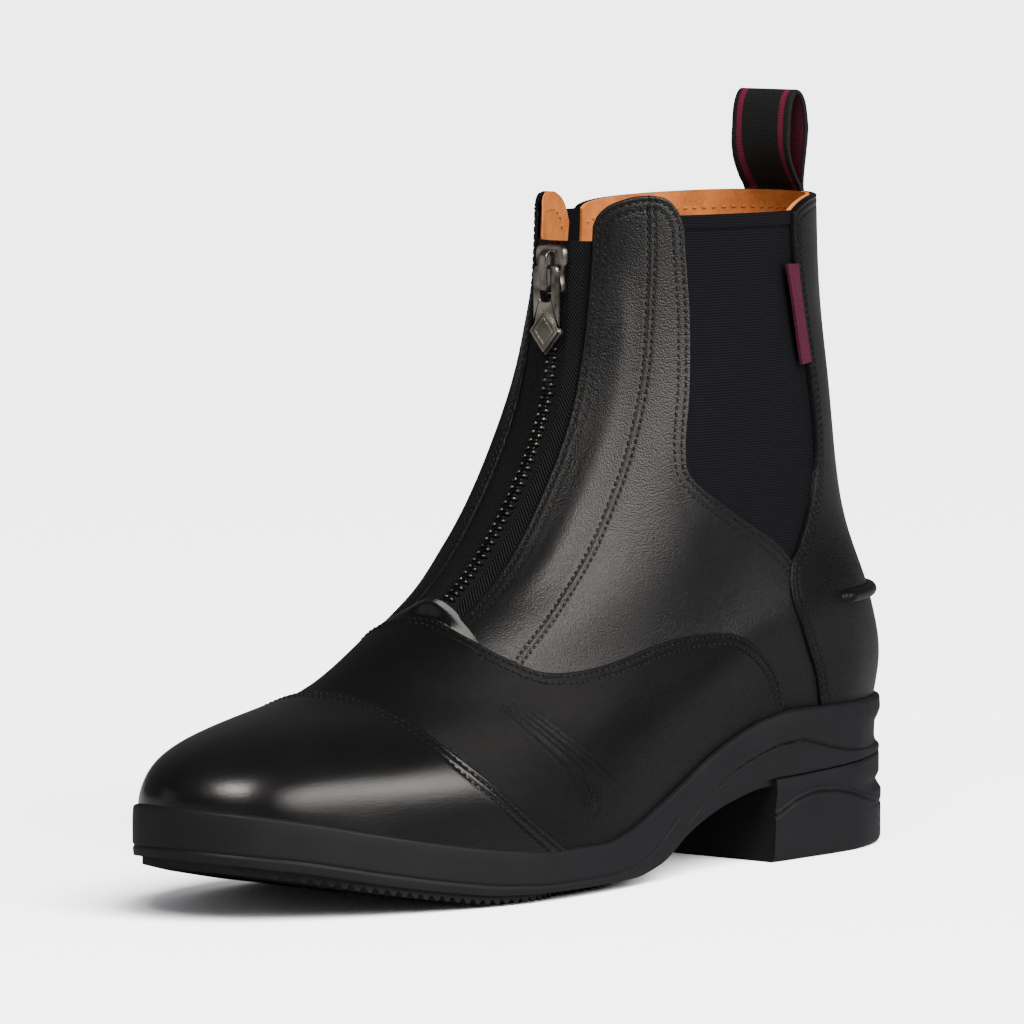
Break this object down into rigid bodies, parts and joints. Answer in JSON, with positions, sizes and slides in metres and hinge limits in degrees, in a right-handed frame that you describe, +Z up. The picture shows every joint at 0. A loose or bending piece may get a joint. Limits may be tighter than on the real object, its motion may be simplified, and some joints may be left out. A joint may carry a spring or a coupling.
{
  "type": "jodhpur boot",
  "caption": "Left ankle-high riding boot in smooth black leather with a front zip, elastic side gores, a stitched toe cap, a webbing pull loop and a low-heeled moulded rubber sole.",
  "frame": {"origin": "on the floor under the middle of the boot's box", "axes": "+X to the outer side of the left foot, +Y from toe to heel, +Z up"},
  "size_m": [0.0939, 0.284, 0.2183],
  "materials": {
    "leather": "smooth black full-grain leather with a fine grain, semi-gloss",
    "cap_leather": "black leather polished to a higher gloss",
    "rubber": "matt moulded black rubber",
    "sock": "tan lining leather",
    "elastic": "black ribbed elastic",
    "zip_tape": "black twill tape",
    "teeth": "darkened metal",
    "nickel": "antique nickel, satin",
    "webbing": "black webbing with two dark red stripes",
    "tab_cloth": "dark red woven cloth"
  },
  "bodies": {
    "boot": {"upper": "leather", "vamp": "leather", "counter": "leather", "spur_rest": "leather", "toe_cap": "cap_leather", "midsole": "rubber", "outsole": "rubber", "heel": "rubber", "insole": "sock", "gore_outer": "elastic", "gore_inner": "elastic", "zip_tape_outer": "zip_tape", "zip_tape_inner": "zip_tape", "zip_teeth": "teeth", "zip_slider": "nickel", "pull_loop": "webbing", "side_tab": "tab_cloth"},
    "zip_pull": {"zip_pull": "nickel"}
  },
  "joints": [
    {"name": "pull_swing", "type": "hinge", "parent": "boot", "child": "zip_pull", "pos_m": [0.0022, 0.00925, 0.171], "axis": [-1, 0, 0], "range_deg": [0, 150]}
  ]
}
